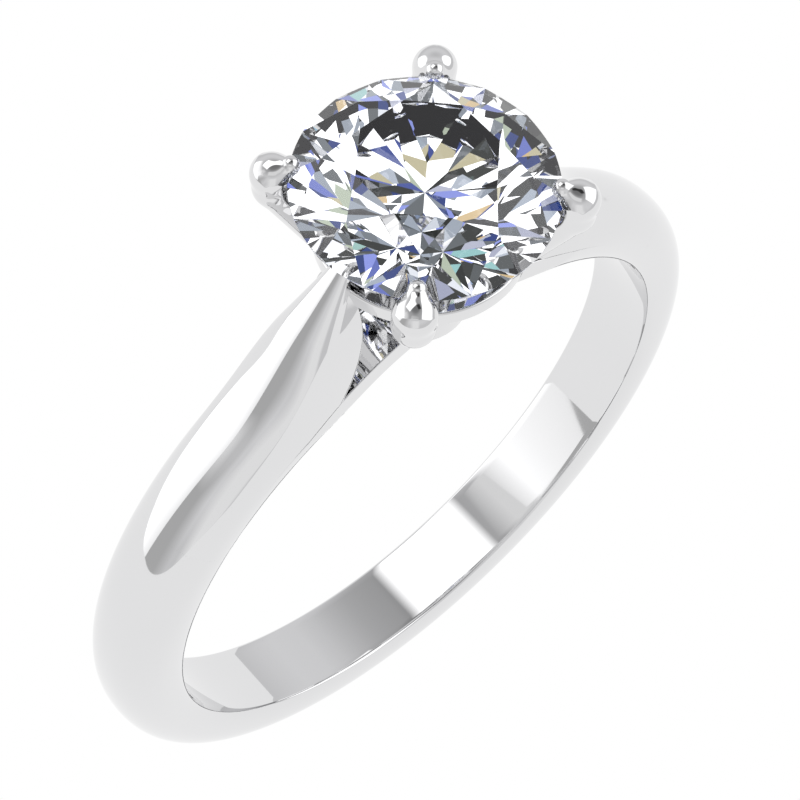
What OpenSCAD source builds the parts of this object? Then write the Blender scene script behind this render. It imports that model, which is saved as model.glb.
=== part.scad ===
// Four-claw cathedral solitaire ring.
// Finger axis along Y, stone up +Z, origin at the centre of the finger hole.
// All sizes in millimetres.

/* [What to build] */
// Which sub-part to draw

/* [Finger hole and band] */
// Inside diameter of the finger hole
finger_d = 17.3; // [14:0.1:22]
// Width of the flat land inside the finger hole
land_w = 2.2; // [1.6:0.05:3]
// Width of the band at its widest
band_w = 2.56; // [1.8:0.02:4]
// Thickness of the band from finger to crown
band_t = 1.76; // [1.2:0.02:2.6]
// Height of the widest line above the finger surface
band_belly = 0.62; // [0.3:0.02:1]
// Fullness of the rounded band, 2 is an ellipse
band_fullness = 2.2; // [2:0.1:3]

/* [Bridge under the head] */
// Thickness of the thin strip that closes the hoop under the head
bridge_t = 0.6; // [0.4:0.05:1.2]
// Width of that strip at its middle
bridge_w = 2; // [1.2:0.05:3]
// Radius of the shallow scoops that narrow the strip
scoop_r = 36; // [15:1:80]

/* [Cathedral shoulders] */
// Height of a shoulder tip above the crown of the band
tip_rise = 2.36; // [1:0.02:5]
// Slope of the straight shoulder ramp, in degrees from level
ramp_angle = 50; // [35:0.5:65]
// Softness of the fillet where the ramp meets the band
ramp_fillet = 0.08; // [0.02:0.01:0.4]
// Angle from the top at which the shoulder piece joins the plain band
shoulder_end = 54; // [50:1:75]
// Radius of the rounded crest at the tip
tip_crest_r = 0.34; // [0.2:0.01:0.6]
// Radius of the rounded crest at the foot of the ramp
crest_r = 1.75; // [0.8:0.05:3]
// Height of the upright flank under the crest at the tip
tip_flank = 0.22; // [0:0.02:0.5]
// Width between the creases at the tip
tip_crease_w = 1.2; // [0.7:0.05:2.4]
// Width between the creases along the ramp
crease_w = 2.14; // [1:0.02:3]
// Width across the flat sides just under the crest at the tip
tip_side_w = 1.72; // [1:0.02:3]
// How sharply the flat side turns in to the crease at the tip
tip_turn = 6; // [1:0.5:8]
// How far each side of the arch window stands inside the outside of the gallery rail
window_inset = 0.12; // [0.05:0.01:0.5]
// Height above the crown of the band at which the window starts to spread
window_spring = 0.6; // [0:0.05:2]
// Radius of the spreading foot of the window
window_r = 4; // [1:0.1:8]

/* [Stone] */
// Girdle diameter of the round brilliant
stone_d = 6.48; // [4:0.05:9]
// Height of the girdle middle above the crown of the band
girdle_rise = 3.07; // [2:0.02:6]
// Thickness of the girdle where it is thickest
girdle_t = 0.11; // [0.03:0.01:0.3]
// Table width as a share of the girdle, percent
table_pct = 54.5; // [50:0.5:66]
// Angle of the crown main facets
crown_angle = 34.3; // [28:0.1:38]
// Angle of the pavilion main facets
pavilion_angle = 40.8; // [38:0.1:43]
// Length of the star facets, percent
star_pct = 52; // [40:1:65]
// Length of the lower girdle facets, percent
lower_pct = 78; // [65:1:90]

/* [Head] */
// Outside diameter of the gallery rail
rail_d = 5.34; // [4:0.02:8]
// Radial width of the gallery rail
rail_wall = 0.56; // [0.3:0.02:1]
// Height of the gallery rail
rail_h = 0.5; // [0.3:0.02:1]
// Height of the rail's lower edge above the crown of the band
rail_rise = 1.09; // [0.5:0.02:3]
// Edge rounding of the rail
rail_edge = 0.07; // [0.02:0.01:0.2]
// Outside diameter of the base ring
base_d = 2.72; // [2:0.02:4]
// Bore of the base ring
base_bore = 1.4; // [0.8:0.05:2.5]
// Height of the base ring above the bridge
base_h = 0.5; // [0.2:0.05:1.2]
// Edge rounding of the base ring
base_edge = 0.06; // [0.02:0.01:0.2]

/* [Claws] */
// Diameter of a claw at its knuckle
claw_d = 1.06; // [0.6:0.02:1.6]
// Diameter of a claw at its foot
claw_foot_d = 0.8; // [0.5:0.02:1.6]
// Lean of a claw away from upright below its knuckle, in degrees
claw_lean = 34; // [10:1:45]
// Diameter of a claw at its waist, where it starts to lean
claw_waist_d = 1.03; // [0.6:0.02:1.6]
// Upright length of a claw between knuckle and waist
claw_upright = 0.46; // [0:0.02:1]
// Distance of the knuckle centre outside the girdle
knuckle_out = 0.36; // [0.1:0.02:0.8]
// Drop of the knuckle centre below the girdle middle
knuckle_drop = 0.06; // [0:0.02:0.5]
// Diameter of the rounded claw point
point_d = 0.48; // [0.2:0.02:0.8]
// Run of the point in over the crown
point_in = 0.42; // [0.1:0.02:1]
// Rise of the point above the knuckle
point_up = 0.4; // [0.1:0.02:1]
// Gap left between claw seat and stone
seat_gap = 0.01; // [0:0.005:0.05]

/* [Hidden] */
$fn = 96;

finger_r = finger_d / 2;
band_r = finger_r + band_t;
bridge_r = finger_r + bridge_t;
belly_r = finger_r + band_belly;
girdle_height = band_r + girdle_rise;
rail_z = band_r + rail_rise;
tip_r = band_r + tip_rise;
spring_z = band_r + window_spring;
window_w = rail_d - 2 * window_inset;
metal = [0.86, 0.87, 0.88];
ice = [0.8, 0.9, 1];

function lerp(a, b, t) = a + (b - a) * t;
function ease(t) = t * t * (3 - 2 * t);
function polar(angle, r) = [r * sin(angle), r * cos(angle)];

// Rounded outer curve from the widest line (t = 0) to the crest (t = 1).
function dome(low, high, half, full, t) =
    [lerp(low, high, pow(sin(90 * t), 2 / full)), half * pow(cos(90 * t), 2 / full)];

// Inner edge of the band, from the flat land up to the widest line.
function rim(t) = [lerp(finger_r, belly_r, 1 - cos(90 * t)),
    lerp(land_w / 2, band_w / 2, sin(90 * t))];

// ---------- shank ----------
band_steps = 14;
rim_steps = 5;

function band_side() = concat(
    [for (i = [0 : rim_steps - 1]) rim(i / rim_steps)],
    [for (i = [0 : band_steps]) dome(belly_r, band_r, band_w / 2, band_fullness, i / band_steps)]);

module band_section() {
    side = band_side();
    last = len(side) - 1;
    polygon(concat(side, [for (i = [1 : last]) [side[last - i][0], -side[last - i][1]]]));
}

// Everything outside the bridge radius between the two shoulder roots.
module top_relief(reach, half_w) {
    rotate([90, 0, 0])
        linear_extrude(2 * half_w, center = true)
            difference() {
                polygon([[0, 0], polar(-shoulder_end, reach), polar(-shoulder_end / 2, 1.2 * reach),
                    polar(shoulder_end / 2, 1.2 * reach), polar(shoulder_end, reach)]);
                circle(bridge_r, $fn = 180);
            }
}

// Shallow scoops on both faces that narrow the bridge.
module bridge_scoops() {
    for (side = [-1, 1])
        translate([0, side * (bridge_w / 2 + scoop_r), 0])
            cylinder(h = 2 * bridge_r, r = scoop_r, $fn = 360);
}

module shank() {
    color(metal)
        difference() {
            rotate([90, 0, 0])
                rotate_extrude($fn = 180)
                    band_section();
            top_relief(1.5 * band_r, band_w);
            intersection() {
                bridge_scoops();
                cube([2 * bridge_r * sin(scoop_angle), 2 * band_w, 3 * band_r], center = true);
            }
        }
}

// Angle from the top at which the scoops run out of the band side.
scoop_angle = asin(sqrt(scoop_r * scoop_r
    - pow(scoop_r - (band_w - bridge_w) / 2, 2)) / bridge_r);

// ---------- shoulders ----------
shoulder_steps = 32;
crest_steps = 8;
side_steps = 8;
base_r = bridge_r - 0.1;

// The tip stands on the rail wall; the ramp then runs straight until it meets the band.
tip_angle = asin(rail_d / 2 / tip_r);
ramp_low = tip_r * cos(ramp_angle - tip_angle);
meet_angle = ramp_angle - acos(min(1, ramp_low / band_r));

// How far round a station is, 0 at the tip and 1 where the ramp meets the band.
function along(angle) = (angle - tip_angle) / (meet_angle - tip_angle);
function clamp(x) = max(0, min(1, x));
function soft_max(a, b, soft) = (a + b + sqrt(pow(a - b, 2) + pow(soft, 2))) / 2;
function soft_min(a, b, soft) = (a + b - sqrt(pow(a - b, 2) + pow(soft, 2))) / 2;

// Rises evenly from 0 and levels off gently at 1.
function level_off(x) = max(0, x) / pow(1 + pow(max(0, x), 4), 0.25);

// Half width of the band or bridge on which a shoulder stands.
function deck(angle) = min(band_w / 2,
    bridge_w / 2 + scoop_r - sqrt(pow(scoop_r, 2) - pow(bridge_r * sin(angle), 2)));

// Half of a ramp section: rounded crest, crease, then the side down to just inside the bridge.
function ramp_half(angle) =
    let (u = along(angle),
        top = soft_max(band_r, ramp_low / cos(ramp_angle - angle), ramp_fillet),
        crest = lerp(tip_crest_r, crest_r, level_off(1.4 * u)),
        crease = soft_min(crest, lerp(tip_crease_w, crease_w, level_off(1.6 * u)) / 2, 0.06),
        turn = asin(crease / crest),
        crease_r = top - crest * (1 - cos(turn)) - tip_flank * exp(-pow(max(0, 5 * u), 1.5)),
        flare = level_off(2.7 * u),
        low = deck(angle),
        high = lerp(min(low, tip_side_w / 2), low, flare),
        bend = lerp(tip_turn, 1, flare))
    concat([for (i = [0 : crest_steps - 1]) let (a = turn * i / crest_steps)
            [top - crest * (1 - cos(a)), crest * sin(a)]],
        [for (j = [0 : side_steps]) let (s = j / side_steps)
            [lerp(crease_r, base_r, s), lerp(high, low, s) - (high - crease) * pow(1 - s, bend)]]);

// Half of a plain band section with the same number of points.
function band_half() = concat(
    [for (i = [crest_steps + side_steps - 1 : -1 : 0])
        dome(belly_r, band_r, band_w / 2, band_fullness, i / (crest_steps + side_steps - 1))],
    [[base_r, band_w / 2]]);

function half_station(angle) =
    let (m = ease(clamp(1.47 * along(angle) - 0.98)), a = ramp_half(angle), b = band_half())
    [for (i = [0 : len(a) - 1]) lerp(a[i], b[i], m)];

function place(angle, p) = [p[0] * sin(angle), p[1], p[0] * cos(angle)];

function station(t) =
    let (angle = lerp(tip_angle - 1.3, shoulder_end, pow(t, 1.4)), half = half_station(angle),
        last = len(half) - 1)
    concat([for (i = [0 : last]) place(angle, half[i])],
        [for (i = [last : -1 : 1]) place(angle, [half[i][0], -half[i][1]])]);

module shoulder_blank() {
    rings = [for (i = [0 : shoulder_steps]) station(i / shoulder_steps)];
    n = len(rings[0]);
    polyhedron(
        points = [for (ring = rings) each ring],
        faces = concat(
            [[for (j = [n - 1 : -1 : 0]) j]],
            [for (i = [0 : shoulder_steps - 1]) for (j = [0 : n - 1])
                each let (a = i * n + j, b = i * n + (j + 1) % n) [[a, b, b + n], [a, b + n, a + n]]],
            [[for (j = [0 : n - 1]) shoulder_steps * n + j]]),
        convexity = 6);
}

// Side outline of the open arch: head space with a foot that spreads along the bridge.
module window_outline() {
    half = window_w / 2;
    out = half + window_r;
    difference() {
        polygon([[0, 0], [-out, spring_z], [out, spring_z]]);
        for (side = [-1, 1])
            translate([side * out, spring_z])
                circle(window_r, $fn = 180);
    }
    translate([-half, spring_z - 0.01])
        square([window_w, band_r]);
}

module shoulder() {
    difference() {
        shoulder_blank();
        rotate([90, 0, 0]) {
            linear_extrude(2 * band_w, center = true)
                window_outline();
            cylinder(h = 2 * band_w, r = bridge_r, center = true, $fn = 180);
        }
        rail_space();
    }
}

module shoulder_right() {
    color(metal) shoulder();
}

module shoulder_left() {
    color(metal) mirror([1, 0, 0]) shoulder();
}

// ---------- head ----------
// Ring section with rounded corners, for rails and collars.
module soft_ring(outer, inner, height, edge) {
    rotate_extrude($fn = 120)
        translate([inner, 0]) {
            w = outer - inner;
            translate([edge, 0]) square([w - 2 * edge, height]);
            translate([0, edge]) square([w, height - 2 * edge]);
            for (x = [edge, w - edge], y = [edge, height - edge])
                translate([x, y]) circle(edge, $fn = 32);
        }
}

// The rail and the open space above it, which trims the shoulder tips flush with its wall.
module rail_space() {
    translate([0, 0, rail_z])
        cylinder(h = band_r, d = rail_d, $fn = 120);
}

module gallery_rail() {
    color(metal)
        translate([0, 0, rail_z])
            soft_ring(rail_d / 2, rail_d / 2 - rail_wall, rail_h, rail_edge);
}

module base_collar() {
    translate([0, 0, finger_r])
        soft_ring(base_d / 2, base_bore / 2, bridge_t + base_h, base_edge);
}

module base_ring() {
    color(metal)
        difference() {
            base_collar();
            hoop_space();
        }
}

// The bridge as the base ring sees it, and the finger hole with a little relief.
module hoop_space() {
    difference() {
        rotate([90, 0, 0])
            cylinder(h = 2 * band_w, r = bridge_r, center = true, $fn = 180);
        bridge_scoops();
    }
    rotate([90, 0, 0])
        cylinder(h = 2 * band_w, r = finger_r + 0.05, center = true, $fn = 180);
}

// ---------- claws ----------
stone_r = stone_d / 2;
knuckle = [stone_r + knuckle_out, girdle_height - knuckle_drop];
waist = knuckle - [0.04, claw_upright];
foot_z = bridge_r + 0.05;
foot = [waist[0] - (waist[1] - foot_z) * tan(claw_lean), foot_z];

// A rod with a ball at each end, from a to b in the XZ plane.
module rod(a, b, r_a, r_b) {
    run = b - a;
    span = norm(run);
    lift = asin((r_a - r_b) / span);
    translate([a[0], 0, a[1]])
        rotate([0, atan2(run[0], run[1]), 0])
            rotate_extrude($fn = 64) {
                intersection() {
                    union() {
                        circle(r_a, $fn = 64);
                        translate([0, span]) circle(r_b, $fn = 64);
                        polygon([[0, 0], [r_a * cos(lift), r_a * sin(lift)],
                            [r_b * cos(lift), span + r_b * sin(lift)], [0, span]]);
                    }
                    translate([0, -r_a]) square([r_a + r_b, span + r_a + r_b]);
                }
            }
}

module claw(azimuth) {
    point = knuckle + [-point_in, point_up];
    color(metal)
        difference() {
            rotate([0, 0, azimuth])
                intersection() {
                    union() {
                        rod(waist, foot, claw_waist_d / 2, claw_foot_d / 2);
                        rod(knuckle, waist, claw_d / 2, claw_waist_d / 2);
                        rod(knuckle, point, claw_d / 2, point_d / 2);
                    }
                    translate([0, -claw_d, foot_z])
                        cube([2 * knuckle[0], 2 * claw_d, girdle_height]);
                }
            stone_space();
            translate([0, 0, rail_z])
                soft_ring(rail_d / 2, rail_d / 2 - rail_wall, rail_h, rail_edge);
            base_collar();
            translate([0, 0, finger_r])
                cylinder(h = bridge_t + base_h - base_edge / 2, r = base_bore / 2 + base_edge);
        }
}

module claw_front_left() { claw(-135); }
module claw_front_right() { claw(-45); }
module claw_back_left() { claw(135); }
module claw_back_right() { claw(45); }

// ---------- stone ----------
table_r = stone_r * table_pct / 100;
girdle_top = girdle_height + girdle_t / 2;
girdle_low = girdle_height - girdle_t / 2;
crown_h = (stone_r - table_r) * tan(crown_angle);
pavilion_h = stone_r * tan(pavilion_angle);
table_z = girdle_top + crown_h;
culet_z = girdle_low - pavilion_h;

// Main facets stand at 22.5 degrees; the half facets meet 22.5 degrees further on.
// Crown: the kite plane is fixed by its slope, the star point sits on it at the half azimuth.
star_r = lerp(table_r * cos(22.5), stone_r, star_pct / 100);
star_z = girdle_top + (stone_r - star_r * cos(22.5)) * tan(crown_angle);
lower_r = stone_r * (1 - lower_pct / 100);
lower_z = culet_z + lower_r * cos(22.5) * tan(pavilion_angle);

// Where the two planes beside a main corner run on past the girdle, in that corner's upright plane.
// A plane through the main corner, the half corner and a point on the half azimuth.
function half_plane(point_r, point_z, corner_z) =
    let (a = [stone_r, 0, corner_z], b = [stone_r * cos(22.5), stone_r * sin(22.5), corner_z],
        c = [point_r * cos(22.5), point_r * sin(22.5), point_z], n = cross(b - a, c - a))
    [n, n * a];
function height_at(plane, p) = (plane[1] - plane[0][0] * p[0] - plane[0][1] * p[1]) / plane[0][2];
function meet_r(up, low, angle) =
    let (ray = [cos(angle), sin(angle)],
        h0 = height_at(up, [0, 0]) - height_at(low, [0, 0]),
        h1 = height_at(up, ray) - height_at(low, ray))
    h0 / (h0 - h1);

up_plane = half_plane(star_r, star_z, girdle_top);
low_plane = half_plane(lower_r, lower_z, girdle_low);
main_meet = meet_r(up_plane, low_plane, 0);
half_meet = meet_r(up_plane, low_plane, 22.5);
main_meet_z = height_at(up_plane, [main_meet, 0]);
half_meet_z = height_at(up_plane, half_meet * [cos(22.5), sin(22.5)]);

function crown_ring(r, z, turn) = [for (k = [0 : 7])
    [r * cos(45 * k + turn), r * sin(45 * k + turn), z]];

module facet_block() {
    // Rings of eight: table, star points, crown corners, main meets, half meets,
    // pavilion corners, lower points; then the culet.
    points = concat(
        crown_ring(table_r, table_z, 22.5), crown_ring(star_r, star_z, 45),
        crown_ring(stone_r, girdle_top, 22.5), crown_ring(main_meet, main_meet_z, 22.5),
        crown_ring(half_meet, half_meet_z, 45), crown_ring(stone_r, girdle_low, 22.5),
        crown_ring(lower_r, lower_z, 45), [[0, 0, culet_z]]);
    faces = concat(
        [[for (k = [7 : -1 : 0]) k]],
        [for (k = [0 : 7]) let (n = (k + 1) % 8, p = (k + 7) % 8) each [
            [k, n, 8 + k],
            [k, 8 + k, 16 + k, 8 + p],
            [8 + k, 32 + k, 24 + k, 16 + k],
            [8 + k, 16 + n, 24 + n, 32 + k],
            [48 + k, 40 + k, 24 + k, 32 + k],
            [48 + k, 32 + k, 24 + n, 40 + n],
            [56, 48 + p, 40 + k, 48 + k]
        ]]);
    polyhedron(points, faces, convexity = 2);
}

module centre_stone() {
    color(ice)
        intersection() {
            facet_block();
            translate([0, 0, culet_z - 1])
                cylinder(h = table_z - culet_z + 2, r = stone_r, $fn = 120);
        }
}

// Smallest turned shape that holds the stone, opened by the seat gap.
module stone_space() {
    rotate_extrude($fn = 120)
        polygon([[0, culet_z - seat_gap], [lower_r + seat_gap, lower_z - seat_gap],
            [stone_r + seat_gap, girdle_low - seat_gap], [stone_r + seat_gap, girdle_top + seat_gap],
            [star_r + seat_gap, star_z + seat_gap], [table_r, table_z + seat_gap],
            [0, table_z + seat_gap]]);
}

shank();
shoulder_left();
shoulder_right();
base_ring();
gallery_rail();
claw_front_left();
claw_front_right();
claw_back_left();
claw_back_right();
centre_stone();
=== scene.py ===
import bmesh
import bpy
import math
import numpy as np
from mathutils import Matrix, Vector


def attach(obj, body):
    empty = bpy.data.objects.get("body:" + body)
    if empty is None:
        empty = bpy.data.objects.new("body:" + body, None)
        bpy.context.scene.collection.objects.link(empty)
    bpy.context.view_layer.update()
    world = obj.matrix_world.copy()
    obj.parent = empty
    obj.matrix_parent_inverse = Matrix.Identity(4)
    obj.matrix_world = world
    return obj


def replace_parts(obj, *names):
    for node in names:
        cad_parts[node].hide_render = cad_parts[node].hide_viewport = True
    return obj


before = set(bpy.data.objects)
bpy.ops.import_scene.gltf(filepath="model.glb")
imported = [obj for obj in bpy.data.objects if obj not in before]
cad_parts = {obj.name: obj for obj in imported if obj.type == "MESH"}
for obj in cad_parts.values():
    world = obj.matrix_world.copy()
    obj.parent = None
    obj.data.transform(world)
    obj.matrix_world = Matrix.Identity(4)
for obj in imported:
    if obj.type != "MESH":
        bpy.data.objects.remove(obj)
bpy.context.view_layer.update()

# ---------- shank ----------
# The hoop: a court band, rounded outside and softly eased inside, cast in 18 carat white gold
# and mirror polished. Under the head it thins to a flat bridge that closes the finger hole.
MM = 0.001
FINGER_R = 8.65
BAND_R = 10.404
BRIDGE_R = 9.25
BELLY_R = 9.27
BAND_HALF = 1.28
LAND_HALF = 1.1
SHOULDER_END = 54.0
SCOOP_R = 36.0
BRIDGE_HALF = 1.0
COURT_STEPS = 75
RIM_STEPS = 12
LAND_STEPS = 6
CORNER_STEPS = 6
JOINT_GAP = 0.45
GOLD = (0.75, 0.75, 0.757)


def white_gold(name, tint, streaks):
    """Polished white gold: a bright metal with the faint unevenness left by a buffing wheel."""
    grain = 420.0
    dull = 0.985
    polish = 0.025
    mat = bpy.data.materials.new(name)
    mat.use_nodes = True
    nodes, links = mat.node_tree.nodes, mat.node_tree.links
    metal = nodes["Principled BSDF"]
    metal.inputs["Metallic"].default_value = 1.0
    where = nodes.new("ShaderNodeTexCoord")
    cloud = nodes.new("ShaderNodeTexNoise")
    cloud.inputs["Scale"].default_value = grain
    cloud.inputs["Detail"].default_value = 3.0
    shade = nodes.new("ShaderNodeValToRGB")
    shade.color_ramp.elements[0].color = (tint[0] * dull, tint[1] * dull, tint[2] * dull, 1)
    shade.color_ramp.elements[1].color = (*tint, 1)
    links.new(where.outputs["Object"], cloud.inputs["Vector"])
    links.new(cloud.outputs["Fac"], shade.inputs["Fac"])
    links.new(shade.outputs["Color"], metal.inputs["Base Color"])
    gloss = nodes.new("ShaderNodeMapRange")
    gloss.inputs["To Min"].default_value = polish
    gloss.inputs["To Max"].default_value = polish + streaks
    links.new(cloud.outputs["Fac"], gloss.inputs["Value"])
    links.new(gloss.outputs["Result"], metal.inputs["Roughness"])
    return mat


def tube(name, loops, closed, mat, ends=False, angle=40):
    """A skin over equally long loops of points; closed joins the last loop to the first."""
    loops = np.asarray(loops, float) * MM
    n, m = loops.shape[:2]
    faces = []
    for i in range(n if closed else n - 1):
        a, b = i * m, (i + 1) % n * m
        for j in range(m):
            k = (j + 1) % m
            faces.append((a + j, b + j, b + k, a + k))
    if ends:
        faces.append(tuple(range(m)))
        faces.append(tuple(range(n * m - 1, (n - 1) * m - 1, -1)))
    mesh = bpy.data.meshes.new(name)
    mesh.from_pydata(loops.reshape(-1, 3).tolist(), [], faces)
    return finished(name, mesh, mat, angle)


def finished(name, mesh, mat, angle=40):
    """Make an object of a mesh: faces outward, smooth but for edges sharper than angle, and on its body."""
    mesh.validate()
    obj = bpy.data.objects.new(name, mesh)
    bpy.context.scene.collection.objects.link(obj)
    bpy.context.view_layer.objects.active = obj
    bpy.ops.object.mode_set(mode="EDIT")
    bpy.ops.mesh.select_all(action="SELECT")
    bpy.ops.mesh.normals_make_consistent(inside=False)
    bpy.ops.object.mode_set(mode="OBJECT")
    mesh.shade_smooth()
    mesh.set_sharp_from_angle(angle=math.radians(angle))
    if mat.name not in mesh.materials:
        mesh.materials.append(mat)
    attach(obj, "root")
    return obj


def deck(angle):
    """Half width of the band or bridge at an angle from the top."""
    x = BRIDGE_R * math.sin(math.radians(angle))
    return min(BAND_HALF, BRIDGE_HALF + SCOOP_R - math.sqrt(SCOOP_R ** 2 - x ** 2))


COURT_POWER = 2.2


def court(t):
    """The outer curve of the band, from crest (t = 0) to widest line (t = 1)."""
    a = math.radians(90 * t)
    return (BELLY_R + (BAND_R - BELLY_R) * math.cos(a) ** (2 / COURT_POWER),
            BAND_HALF * math.sin(a) ** (2 / COURT_POWER))


def court_share(y):
    """How far along the outer curve the band reaches this half width."""
    return math.degrees(math.asin((y / BAND_HALF) ** (COURT_POWER / 2))) / 90


def eased(t):
    """The inner corner, from widest line (t = 0) to the flat land (t = 1)."""
    a = math.radians(90 * (1 - t))
    return (FINGER_R + (BELLY_R - FINGER_R) * (1 - math.cos(a)),
            LAND_HALF + (BAND_HALF - LAND_HALF) * math.sin(a))


def ring_half(angle):
    """Half of the hoop's section at an angle: outside, widest line, inner corner, land."""
    rim = [eased(k / RIM_STEPS) for k in range(1, RIM_STEPS + 1)]
    land = [(FINGER_R, LAND_HALF * (1 - k / LAND_STEPS)) for k in range(1, LAND_STEPS)]
    if abs(angle) > SHOULDER_END - 0.4:
        outer = [court(k / COURT_STEPS) for k in range(COURT_STEPS + 1)]
        return outer + rim + land + [(FINGER_R, 0.0)]
    half = deck(angle)
    under_head = 21
    soft = 0.03 if abs(angle) < under_head else 0.004
    flat = COURT_STEPS - CORNER_STEPS
    top = [(BRIDGE_R, (half - soft) * k / flat) for k in range(flat)]
    turn = [(BRIDGE_R - soft * (1 - math.cos(a)), half - soft * (1 - math.sin(a)))
            for a in [math.radians(90 * k / CORNER_STEPS) for k in range(CORNER_STEPS + 1)]]
    rim = [(min(r, BRIDGE_R - soft), min(y, half)) for r, y in rim]
    land = [(r, y * min(1, half / LAND_HALF)) for r, y in land]
    return top + turn + rim + land + [(FINGER_R, 0.0)]


gold_band = white_gold("white_gold_band", GOLD, 0.02)
under_shoulders = np.linspace(-SHOULDER_END + JOINT_GAP, SHOULDER_END - JOINT_GAP, 121)
open_band = np.linspace(SHOULDER_END - 0.35, 360 - SHOULDER_END + 0.35, 300)
hoop = []
for deg in [*under_shoulders, *open_band]:
    spin = math.radians(deg)
    half = ring_half(deg if deg < 180 else deg - 360)
    loop = [(r * math.sin(spin), y, r * math.cos(spin)) for r, y in half]
    loop += [(r * math.sin(spin), -y, r * math.cos(spin)) for r, y in half[-2:0:-1]]
    hoop.append(loop)
shank = tube("shank_band", hoop, True, gold_band)
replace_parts(shank, "shank")

# ---------- shoulders ----------
# Two cathedral shoulders: solid tapering ramps, round on the crest and flat on the sides,
# that rise from the band to the gallery rail over an open arch. Cast with the hoop.
TIP_R = 12.77
RAMP_ANGLE = 50.0
RAIL_R = 2.67
RAIL_Z = 11.5
WINDOW_HALF = 2.55
SPRING_Z = 11.01
WINDOW_R = 4.0
TIP_ANGLE = math.degrees(math.asin(RAIL_R / TIP_R))
RAMP_LOW = TIP_R * math.cos(math.radians(RAMP_ANGLE - TIP_ANGLE))
MEET_ANGLE = RAMP_ANGLE - math.degrees(math.acos(RAMP_LOW / BAND_R))
MEET_SOFT = 0.3
TIP_CREST_R = 0.34
CREST_R = 1.75
TIP_CREASE_HALF = 0.6
CREASE_HALF = 1.07
TIP_FLANK = 0.22
TIP_SIDE_HALF = 0.86
TIP_TURN = 6
CREST_STEPS = 40
SIDE_STEPS = 35
SHOULDER_STEPS = 241
UNDER_SOFT = 0.035


def lerp(a, b, t):
    return a + (b - a) * t


def clamp(x):
    return max(0.0, min(1.0, x))


def ease(x):
    """Starts and ends gently between 0 and 1."""
    return x * x * (3 - 2 * x)


def level_off(x):
    """Rises evenly from 0 and levels off gently at 1."""
    x = max(0.0, x)
    return x / (1 + x ** 4) ** 0.25


def arch(angle):
    """Distance from the ring centre at which a ray at this angle leaves the open arch."""
    s, c = math.sin(math.radians(angle)), math.cos(math.radians(angle))
    low = BRIDGE_R - 0.06
    if s / c > (WINDOW_HALF + WINDOW_R) / SPRING_Z:
        return low
    for r in np.linspace(15, low, 900):
        x, z = r * s, r * c
        spread = 0.0
        if z < SPRING_Z:
            spread = WINDOW_R - math.sqrt(max(0, WINDOW_R ** 2 - (SPRING_Z - z) ** 2))
        if x < WINDOW_HALF + spread:
            return r
    return low


def ramp_loop(angle):
    """Half of a shoulder's section at an angle: crest, crease, side, and the underside."""
    u = (angle - TIP_ANGLE) / (MEET_ANGLE - TIP_ANGLE)
    ramp = RAMP_LOW / math.cos(math.radians(RAMP_ANGLE - angle))
    top = (BAND_R + ramp + math.sqrt((BAND_R - ramp) ** 2 + MEET_SOFT ** 2) - MEET_SOFT / 5) / 2
    crest = lerp(TIP_CREST_R, CREST_R, level_off(1.4 * u))
    wide = lerp(TIP_CREASE_HALF, CREASE_HALF, level_off(1.6 * u))
    crease = (crest + wide - math.sqrt((crest - wide) ** 2 + 0.06 ** 2)) / 2
    turn = math.asin(crease / crest)
    crease_r = top - crest * (1 - math.cos(turn)) - TIP_FLANK * math.exp(-max(0, 5 * u) ** 1.5)
    flare = level_off(2.7 * u)
    low = deck(angle)
    high = lerp(min(low, TIP_SIDE_HALF), low, flare)
    bend = lerp(TIP_TURN, 1, flare)
    base = BRIDGE_R - 0.1
    into_band = ease(clamp((u - 0.3) / 1.1))
    half = []
    for i in range(CREST_STEPS + 1):
        a = turn * i / CREST_STEPS
        r, y = top - crest * (1 - math.cos(a)), crest * math.sin(a)
        half.append((lerp(r, court(court_share(y))[0], into_band), y))
    floor_r = min(arch(angle), half[-1][0] - 0.1)
    stop = (crease_r - floor_r) / (crease_r - base)
    for j in range(1, SIDE_STEPS + 1):
        s = stop * j / SIDE_STEPS
        r = lerp(crease_r, base, s)
        s = min(1, s)
        y = lerp(high, low, s) - (high - crease) * (1 - s) ** bend
        band_r, band_y = court(lerp(court_share(crease), 1, j / SIDE_STEPS))
        half.append((max(lerp(r, band_r, into_band), floor_r), lerp(y, band_y, into_band)))
    edge_y = half[-1][1]
    half[-1] = (max(half[-1][0], floor_r + 2 * UNDER_SOFT), edge_y)
    for a in [math.radians(90 * k / CORNER_STEPS) for k in range(CORNER_STEPS + 1)]:
        half.append((floor_r + UNDER_SOFT * (1 - math.sin(a)), edge_y - UNDER_SOFT * (1 - math.cos(a))))
    half += [(floor_r, (edge_y - UNDER_SOFT) * (1 - k / 8)) for k in range(1, 9)]
    return half


def shoulder(side):
    """One ramp, on the left for side -1 and on the right for side 1, closer ringed near the tip."""
    loops = []
    for t in np.linspace(0, 1, SHOULDER_STEPS):
        angle = lerp(TIP_ANGLE - 0.25, SHOULDER_END, t ** 1.3)
        s, c = math.sin(math.radians(angle)), math.cos(math.radians(angle))
        half = ramp_loop(angle)
        both = half + [(r, -y) for r, y in half[-2:0:-1]]
        loops.append([(side * r * s, y, r * c) for r, y in both])
    name = "shoulder_right_ramp" if side > 0 else "shoulder_left_ramp"
    return tube(name, loops, False, gold_band, ends=True, angle=50)


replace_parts(shoulder(-1), "shoulder_left")
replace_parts(shoulder(1), "shoulder_right")

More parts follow.
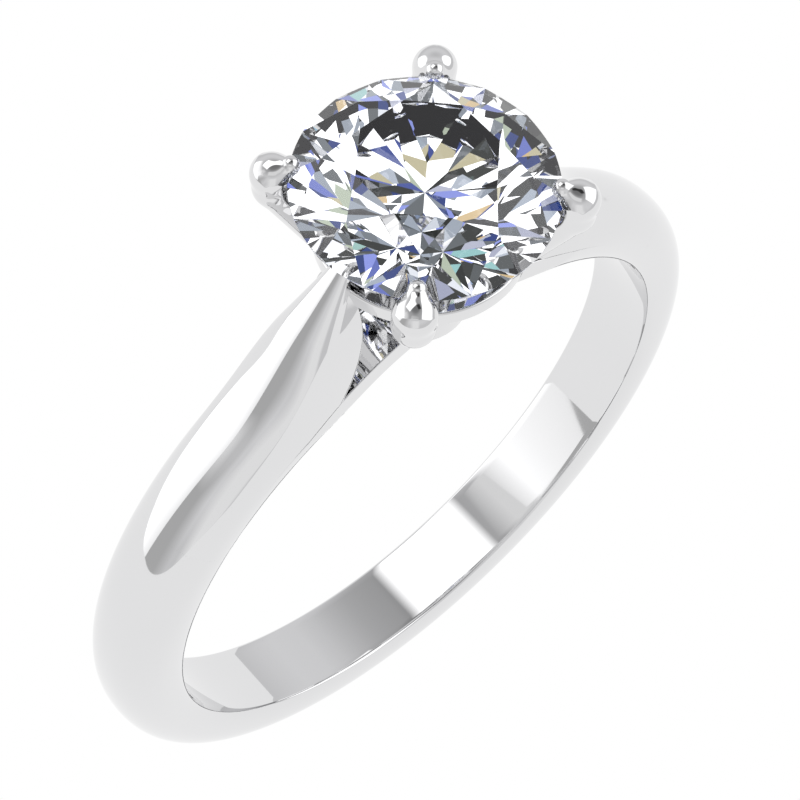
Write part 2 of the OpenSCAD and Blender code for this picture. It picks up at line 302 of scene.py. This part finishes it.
# ---------- base ring and gallery rail ----------
# The base ring is the turned collar that seats the head on the bridge; the gallery rail is the
# flat ring that ties the claws together under the stone. White gold, soldered to the claws.
COLLAR_R = 1.36
COLLAR_BORE_R = 0.7
COLLAR_LOW = 8.73
COLLAR_HEIGHT = 1.02
COLLAR_EDGE = 0.06
RAIL_INSIDE_R = 2.11
RAIL_HEIGHT = 0.5
RAIL_EDGE = 0.07
gold_head = white_gold("white_gold_head", GOLD, 0.015)


def ring_tree(mat):
    """A rectangular section with rounded corners, carried round a circle."""
    tree = bpy.data.node_groups.new("turned_ring", "GeometryNodeTree")
    for size in ("Middle Radius", "Wall", "Height", "Edge", "Middle Height"):
        tree.interface.new_socket(size, in_out="INPUT", socket_type="NodeSocketFloat")
    tree.interface.new_socket("Geometry", in_out="OUTPUT", socket_type="NodeSocketGeometry")
    new, join = tree.nodes.new, tree.links.new
    size, out = new("NodeGroupInput"), new("NodeGroupOutput")
    path = new("GeometryNodeCurvePrimitiveCircle")
    path.inputs["Resolution"].default_value = 288
    section = new("GeometryNodeCurvePrimitiveQuadrilateral")
    corner = new("GeometryNodeFilletCurve")
    corner.mode = "POLY"
    corner.inputs["Count"].default_value = 8
    sweep = new("GeometryNodeCurveToMesh")
    lift, height = new("GeometryNodeTransform"), new("ShaderNodeCombineXYZ")
    whole, skin = new("GeometryNodeRealizeInstances"), new("GeometryNodeSetMaterial")
    skin.inputs["Material"].default_value = mat
    join(size.outputs["Middle Radius"], path.inputs["Radius"])
    join(size.outputs["Wall"], section.inputs["Width"])
    join(size.outputs["Height"], section.inputs["Height"])
    join(section.outputs["Curve"], corner.inputs["Curve"])
    join(size.outputs["Edge"], corner.inputs["Radius"])
    join(path.outputs["Curve"], sweep.inputs["Curve"])
    join(corner.outputs["Curve"], sweep.inputs["Profile Curve"])
    join(sweep.outputs["Mesh"], lift.inputs["Geometry"])
    join(size.outputs["Middle Height"], height.inputs["Z"])
    join(height.outputs[0], lift.inputs["Translation"])
    join(lift.outputs["Geometry"], whole.inputs["Geometry"])
    join(whole.outputs["Geometry"], skin.inputs["Geometry"])
    join(skin.outputs["Geometry"], out.inputs["Geometry"])
    return tree


turned_ring = ring_tree(gold_head)


def turned(name, outer, inner, low, height, edge):
    """A plain mesh of one ring from the tree."""
    carrier = bpy.data.objects.new(name + "_maker", bpy.data.meshes.new(name + "_maker"))
    bpy.context.scene.collection.objects.link(carrier)
    maker = carrier.modifiers.new("turned_ring", "NODES")
    maker.node_group = turned_ring
    sizes = {"Middle Radius": (outer + inner) / 2, "Wall": outer - inner, "Height": height, "Edge": edge,
             "Middle Height": low + height / 2}
    for item in turned_ring.interface.items_tree:
        if item.in_out == "INPUT":
            maker[item.identifier] = sizes[item.name] * MM
    made = carrier.evaluated_get(bpy.context.evaluated_depsgraph_get())
    mesh = bpy.data.meshes.new_from_object(made)
    carrier.modifiers.remove(maker)
    bpy.data.objects.remove(carrier)
    return finished(name, mesh, gold_head, 60)


base_collar = turned("base_collar", COLLAR_R, COLLAR_BORE_R, COLLAR_LOW, COLLAR_HEIGHT, COLLAR_EDGE)
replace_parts(base_collar, "base_ring")
under_rail = turned("under_rail", RAIL_R, RAIL_INSIDE_R, RAIL_Z, RAIL_HEIGHT, RAIL_EDGE)
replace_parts(under_rail, "gallery_rail")

# ---------- claws ----------
# Four round-wire claws, white gold: each leans out from the base ring, turns upright at the waist,
# and ends in a domed bead filed to a point and burnished over the girdle.
STONE_R = 3.2395
GIRDLE_Z = 13.48
GIRDLE_HALF = 0.055
CROWN_ANGLE = math.radians(34.3)
PAVILION_ANGLE = math.radians(40.8)
SEAT_GAP = 0.012
CLAW_LEAN = math.radians(34)
CLAW_FOOT_Z = 9.3
KNUCKLE = np.array([STONE_R + 0.36, GIRDLE_Z - 0.06])
WAIST = KNUCKLE - np.array([0.04, 0.46])
FOOT = np.array([WAIST[0] - (WAIST[1] - CLAW_FOOT_Z) * math.tan(CLAW_LEAN), CLAW_FOOT_Z])
POINT = KNUCKLE + np.array([-0.42, 0.40])
KNUCKLE_R = 0.53
WAIST_R = 0.515
FOOT_R = 0.40
POINT_R = 0.24
CLAW_SIDES = 144


def rod_gap(p, a, b, ra, rb):
    """Distance outside a rod with a ball at each end."""
    ab = b - a
    t = np.clip(((p - a) @ ab) / (ab @ ab), 0, 1)
    return np.linalg.norm(p - a - t[..., None] * ab, axis=-1) - (ra + (rb - ra) * t)


def soft_min(a, b, k):
    """The smaller of two distances, rounded over where they are alike, as solder fills a corner."""
    h = np.clip(0.5 + 0.5 * (b - a) / k, 0, 1)
    return b + (a - b) * h - k * h * (1 - h)


def claw_gap(p):
    """Distance outside a claw that stands along +X, with the seat for the stone cut out."""
    at = lambda q: np.array([q[0], 0.0, q[1]])
    d = rod_gap(p, at(WAIST), at(FOOT), WAIST_R, FOOT_R)
    d = soft_min(d, rod_gap(p, at(KNUCKLE), at(WAIST), KNUCKLE_R, WAIST_R), 0.12)
    d = soft_min(d, rod_gap(p, at(KNUCKLE), at(POINT), KNUCKLE_R, POINT_R), 0.08)
    out = np.hypot(p[..., 0], p[..., 1]) - STONE_R
    above = p[..., 2] - (GIRDLE_Z + GIRDLE_HALF)
    below = (GIRDLE_Z - GIRDLE_HALF) - p[..., 2]
    crown = above * math.cos(CROWN_ANGLE) + out * math.sin(CROWN_ANGLE)
    pavilion = below * math.cos(PAVILION_ANGLE) + out * math.sin(PAVILION_ANGLE)
    stone = np.maximum(np.maximum(crown, pavilion), out) - SEAT_GAP
    return np.maximum(d, -stone)


def claw(azimuth):
    """The claw's skin: rays leave its middle line all round and stop where the metal ends."""
    spine = [(FOOT + (WAIST - FOOT) * t, CLAW_LEAN) for t in np.linspace(0, 1, 120)]
    spine += [(WAIST + (KNUCKLE - WAIST) * t, CLAW_LEAN * (1 - ease(t))) for t in np.linspace(0, 1, 60)[1:]]
    around = np.linspace(0, 2 * math.pi, CLAW_SIDES, endpoint=False)
    starts, rays = [], []
    for q, lean in spine:
        out = np.array([math.cos(lean), 0, -math.sin(lean)])
        for a in around:
            starts.append((q[0], 0, q[1]))
            rays.append(out * math.cos(a) + np.array([0, math.sin(a), 0]))
    for e in np.linspace(0, math.pi / 2, 80)[1:-1]:
        for a in around:
            starts.append((KNUCKLE[0], 0, KNUCKLE[1]))
            rays.append((math.cos(a) * math.cos(e), math.sin(a) * math.cos(e), math.sin(e)))
    starts.append((KNUCKLE[0], 0, KNUCKLE[1]))
    rays.append((0, 0, 1))
    starts, rays = np.array(starts, float), np.array(rays, float)
    reach = np.zeros(len(starts))
    for _ in range(160):
        reach += np.clip(-claw_gap(starts + reach[:, None] * rays), 0.0, 0.2) * 0.9
    points = starts + reach[:, None] * rays
    points[:, 2] = np.maximum(points[:, 2], CLAW_FOOT_Z - 0.02)
    c, s = math.cos(math.radians(azimuth)), math.sin(math.radians(azimuth))
    x, y, z = points.T
    points = np.stack([x * c - y * s, x * s + y * c, z], -1) * MM
    n = CLAW_SIDES
    top = len(points) - 1
    rows = top // n
    faces = [(i * n + j, i * n + (j + 1) % n, (i + 1) * n + (j + 1) % n, (i + 1) * n + j)
             for i in range(rows - 1) for j in range(n)]
    faces += [((rows - 1) * n + j, (rows - 1) * n + (j + 1) % n, top) for j in range(n)]
    faces.append(tuple(range(n - 1, -1, -1)))
    mesh = bpy.data.meshes.new("claw")
    mesh.from_pydata(points.tolist(), [], faces)
    return mesh


for node, azimuth in (("claw_front_left", -135), ("claw_front_right", -45),
                      ("claw_back_left", 135), ("claw_back_right", 45)):
    bead = finished(node + "_wire", claw(azimuth), gold_head, 60)
    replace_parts(bead, node)

# ---------- centre stone ----------
# A round brilliant diamond of one carat, colourless, cut with flat polished facets; held by the
# four claws at its girdle.


def diamond():
    """Clear diamond: bends light strongly, and its clarity varies by a trace."""
    mat = bpy.data.materials.new("diamond")
    mat.use_nodes = True
    nodes, links = mat.node_tree.nodes, mat.node_tree.links
    gem = nodes["Principled BSDF"]
    gem.inputs["Transmission Weight"].default_value = 1.0
    gem.inputs["Roughness"].default_value = 0.0
    gem.inputs["IOR"].default_value = 2.417
    gem.inputs["Specular Tint"].default_value = (0.45, 0.45, 0.47, 1)
    where = nodes.new("ShaderNodeTexCoord")
    haze = nodes.new("ShaderNodeTexNoise")
    haze.inputs["Scale"].default_value = 300.0
    tint = nodes.new("ShaderNodeValToRGB")
    tint.color_ramp.elements[0].color = (0.975, 0.985, 1.0, 1)
    tint.color_ramp.elements[1].color = (1.0, 1.0, 1.0, 1)
    links.new(where.outputs["Object"], haze.inputs["Vector"])
    links.new(haze.outputs["Fac"], tint.inputs["Fac"])
    links.new(tint.outputs["Color"], gem.inputs["Base Color"])
    return mat


TABLE_R = STONE_R * 0.545
GIRDLE_TOP = GIRDLE_Z + GIRDLE_HALF
GIRDLE_LOW = GIRDLE_Z - GIRDLE_HALF
TABLE_Z = GIRDLE_TOP + (STONE_R - TABLE_R) * math.tan(CROWN_ANGLE)
CULET_Z = GIRDLE_LOW - STONE_R * math.tan(PAVILION_ANGLE)
STEP = math.radians(22.5)
STAR_R = lerp(TABLE_R * math.cos(STEP), STONE_R, 0.52)
STAR_Z = GIRDLE_TOP + (STONE_R - STAR_R * math.cos(STEP)) * math.tan(CROWN_ANGLE)
LOWER_R = STONE_R * (1 - 0.78)
LOWER_Z = CULET_Z + LOWER_R * math.cos(STEP) * math.tan(PAVILION_ANGLE)


def polar(r, azimuth, z):
    """A point at this distance and angle round the stone's axis."""
    return Vector((r * math.cos(azimuth), r * math.sin(azimuth), z))


def facet(rough, a, b, c):
    """Grind the rough down to the plane through three points."""
    normal = (b - a).cross(c - a).normalized()
    if normal.dot(a - Vector((0, 0, GIRDLE_Z))) < 0:
        normal = -normal
    ground = bmesh.ops.bisect_plane(rough, geom=rough.verts[:] + rough.edges[:] + rough.faces[:], dist=1e-6,
                                    plane_co=a, plane_no=normal, clear_outer=True)
    rim = [part for part in ground["geom_cut"] if isinstance(part, bmesh.types.BMEdge)]
    if rim:
        bmesh.ops.contextual_create(rough, geom=rim)


rough = bmesh.new()
bmesh.ops.create_cone(rough, cap_ends=True, segments=120, radius1=STONE_R, radius2=STONE_R, depth=8,
                      matrix=Matrix.Translation((0, 0, GIRDLE_Z)))
facet(rough, polar(1, 0, TABLE_Z), polar(1, 2, TABLE_Z), polar(1, 4, TABLE_Z))
for k in range(8):
    main, half = STEP * (2 * k + 1), STEP * (2 * k + 2)
    facet(rough, polar(STONE_R, main, GIRDLE_TOP), polar(STAR_R, half, STAR_Z),
          polar(STAR_R, half - 2 * STEP, STAR_Z))
    facet(rough, polar(TABLE_R, main, TABLE_Z), polar(TABLE_R, main + 2 * STEP, TABLE_Z),
          polar(STAR_R, half, STAR_Z))
    facet(rough, polar(STONE_R, main, GIRDLE_LOW), Vector((0, 0, CULET_Z)),
          Vector((0, 0, CULET_Z)) + polar(1, main + math.pi / 2, 0))
    for side in (-1, 1):
        beside = main + side * STEP
        facet(rough, polar(STONE_R, main, GIRDLE_TOP), polar(STONE_R, beside, GIRDLE_TOP),
              polar(STAR_R, beside, STAR_Z))
        facet(rough, polar(STONE_R, main, GIRDLE_LOW), polar(STONE_R, beside, GIRDLE_LOW),
              polar(LOWER_R, beside, LOWER_Z))
bmesh.ops.recalc_face_normals(rough, faces=rough.faces[:])
bmesh.ops.scale(rough, vec=(MM, MM, MM), verts=rough.verts[:])
cut_stone = bpy.data.meshes.new("round_brilliant")
rough.to_mesh(cut_stone)
rough.free()
for face in cut_stone.polygons:
    face.use_smooth = abs(face.normal.z) < 0.01
cut_stone.materials.append(diamond())
brilliant = bpy.data.objects.new("round_brilliant", cut_stone)
bpy.context.scene.collection.objects.link(brilliant)
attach(brilliant, "root")
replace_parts(brilliant, "centre_stone")

# ---------- stage ----------
# A pale seamless floor, soft studio light, and the camera looking down over the left shoulder.


def panel(name, centre, aim, width, height, strength, fade=(0, 0, 0, 0)):
    """A glowing card, black where strength is 0; fade softens its left, right, lower and upper edge."""
    mat = bpy.data.materials.new(name)
    mat.use_nodes = True
    nodes, links = mat.node_tree.nodes, mat.node_tree.links
    nodes.remove(nodes["Principled BSDF"])
    glow = nodes.new("ShaderNodeEmission")
    glow.inputs["Strength"].default_value = strength
    clear = nodes.new("ShaderNodeBsdfTransparent")
    cover = nodes.new("ShaderNodeAttribute")
    cover.attribute_name = "cover"
    blend = nodes.new("ShaderNodeMixShader")
    links.new(cover.outputs["Fac"], blend.inputs[0])
    links.new(clear.outputs[0], blend.inputs[1])
    links.new(glow.outputs[0], blend.inputs[2])
    links.new(blend.outputs[0], nodes["Material Output"].inputs["Surface"])
    centre, aim = Vector(centre) * MM, Vector(aim) * MM
    spot = Matrix.Translation(centre) @ (aim - centre).to_track_quat("-Z", "Y").to_matrix().to_4x4()
    left, right, lower, upper = fade
    xs = [(-width / 2, 0 if left else 1), (width / 2, 0 if right else 1)]
    ys = [(-height / 2, 0 if lower else 1), (height / 2, 0 if upper else 1)]
    xs += [(left - width / 2, 1)] * (left > 0) + [(width / 2 - right, 1)] * (right > 0)
    ys += [(lower - height / 2, 1)] * (lower > 0) + [(height / 2 - upper, 1)] * (upper > 0)
    xs, ys = sorted(xs), sorted(ys)
    n = len(xs)
    mesh = bpy.data.meshes.new(name)
    mesh.from_pydata([spot @ Vector((x * MM, y * MM, 0)) for y, _ in ys for x, _ in xs], [],
                     [(j * n + i, j * n + i + 1, (j + 1) * n + i + 1, (j + 1) * n + i)
                      for j in range(len(ys) - 1) for i in range(n - 1)])
    mesh.attributes.new("cover", "FLOAT", "POINT").data.foreach_set(
        "value", [min(a, b) for _, b in ys for _, a in xs])
    mesh.materials.append(mat)
    obj = bpy.data.objects.new(name, mesh)
    bpy.context.scene.collection.objects.link(obj)
    obj.visible_camera = False
    return obj


def toward(azimuth, elevation, far):
    """A point seen from the ring at this compass angle from +Y towards +X, and this height."""
    a, e = math.radians(azimuth), math.radians(elevation)
    return (far * math.sin(a) * math.cos(e), far * math.cos(a) * math.cos(e), far * math.sin(e))


RING = (0, 0, 0)
floor = panel("floor", (0, 0, -10.6), (0, 0, 100), 210, 210, 1.0)
floor.visible_camera = True
cards = [
    panel("side_softbox", toward(313.5, 18, 300), RING, 512, 300, 1.5, (20, 178, 0, 70)),
    panel("grey_card", toward(275, 14, 330), RING, 308, 310, 0.5, (0, 120, 0, 110)),
    panel("top_softbox", (-40, 165, 300), (-40, 165, 0), 262, 240, 1.6, (30, 30, 15, 15)),
    panel("front_softbox", toward(122, 33, 300), RING, 400, 330, 1.5, (15, 15, 15, 15)),
    panel("rear_fill", toward(228, 54, 320), RING, 250, 130, 0.87, (50, 50, 30, 30)),
    panel("high_fill", toward(291, 43, 340), RING, 130, 150, 0.85, (30, 50, 50, 60)),
    panel("low_fill", toward(222, 12, 340), RING, 270, 260, 0.95, (100, 60, 20, 40)),
    panel("black_flag", toward(105, 74, 280), RING, 120, 90, 0.04, (20, 20, 20, 20)),
]
for card in [floor] + cards:
    card.visible_transmission = False

# The room: a dome that darkens overhead for the metal, and for light that has passed through the
# stone a patchwork of dark, white and coloured cells that stands in for its fire.
studio = bpy.data.worlds.new("studio")
bpy.context.scene.world = studio
studio.use_nodes = True
room = studio.node_tree.nodes
join = studio.node_tree.links.new


def fill_ramp(ramp, stops):
    """Set a colour ramp's stops, lowest first."""
    ramp.color_ramp.elements[0].position, ramp.color_ramp.elements[0].color = stops[0]
    ramp.color_ramp.elements[1].position, ramp.color_ramp.elements[1].color = stops[-1]
    for place, colour in stops[1:-1]:
        ramp.color_ramp.elements.new(place).color = colour


way = room.new("ShaderNodeTexCoord")
split = room.new("ShaderNodeSeparateXYZ")
dome = room.new("ShaderNodeValToRGB")
fill_ramp(dome, [(place, (level, level, level * 1.01, 1)) for place, level in (
    (0.0, 0.70), (0.15, 0.76), (0.3, 0.80), (0.5, 0.78), (0.62, 0.70), (0.74, 0.57), (0.8, 0.50), (0.9, 0.42),
    (0.96, 0.24), (1.0, 0.20))])
sky = room["Background"]
join(way.outputs["Generated"], split.inputs[0])
join(split.outputs["Z"], dome.inputs["Fac"])
join(dome.outputs["Color"], sky.inputs["Color"])

fire = room.new("ShaderNodeTexVoronoi")
fire.inputs["Scale"].default_value = 7.5
pick = room.new("ShaderNodeSeparateColor")
fire_colours = room.new("ShaderNodeValToRGB")
fill_ramp(fire_colours, [
    (0.0, (0.015, 0.018, 0.015, 1)), (0.14, (0.05, 0.055, 0.05, 1)), (0.28, (0.17, 0.19, 0.21, 1)),
    (0.42, (0.46, 0.52, 0.62, 1)), (0.52, (1.7, 1.7, 1.75, 1)), (0.76, (1.8, 1.8, 1.85, 1)),
    (0.80, (0.03, 0.06, 0.24, 1)), (0.88, (0.02, 0.05, 0.26, 1)), (0.91, (0.26, 0.32, 0.9, 1)),
    (0.95, (0.32, 0.38, 0.9, 1)), (0.965, (0.35, 0.66, 0.66, 1)), (0.99, (0.75, 0.55, 0.28, 1))])
fire_sky = room.new("ShaderNodeBackground")
path = room.new("ShaderNodeLightPath")
choose = room.new("ShaderNodeMixShader")
join(way.outputs["Generated"], fire.inputs["Vector"])
join(fire.outputs["Color"], pick.inputs[0])
join(pick.outputs[0], fire_colours.inputs["Fac"])
join(fire_colours.outputs["Color"], fire_sky.inputs["Color"])
join(path.outputs["Is Transmission Ray"], choose.inputs[0])
join(sky.outputs[0], choose.inputs[1])
join(fire_sky.outputs[0], choose.inputs[2])
join(choose.outputs[0], room["World Output"].inputs["Surface"])

eye = Vector((-23.137, -22.573, 57.374)) * MM
right = Vector((0.75405, -0.65514, 0.04699))
up = Vector((0.54433, 0.66334, 0.51350))
back = Vector((-0.36758, -0.36163, 0.85680))
camera = bpy.data.cameras.new("camera")
camera.sensor_width = 36
camera.lens = 104.196
camera.clip_start = 0.001
camera.clip_end = 10
shot = bpy.data.objects.new("camera", camera)
shot.matrix_world = Matrix.Translation(eye) @ Matrix((right, up, back)).transposed().to_4x4()
bpy.context.scene.collection.objects.link(shot)
bpy.context.scene.camera = shot
bpy.context.scene.view_settings.view_transform = "Standard"
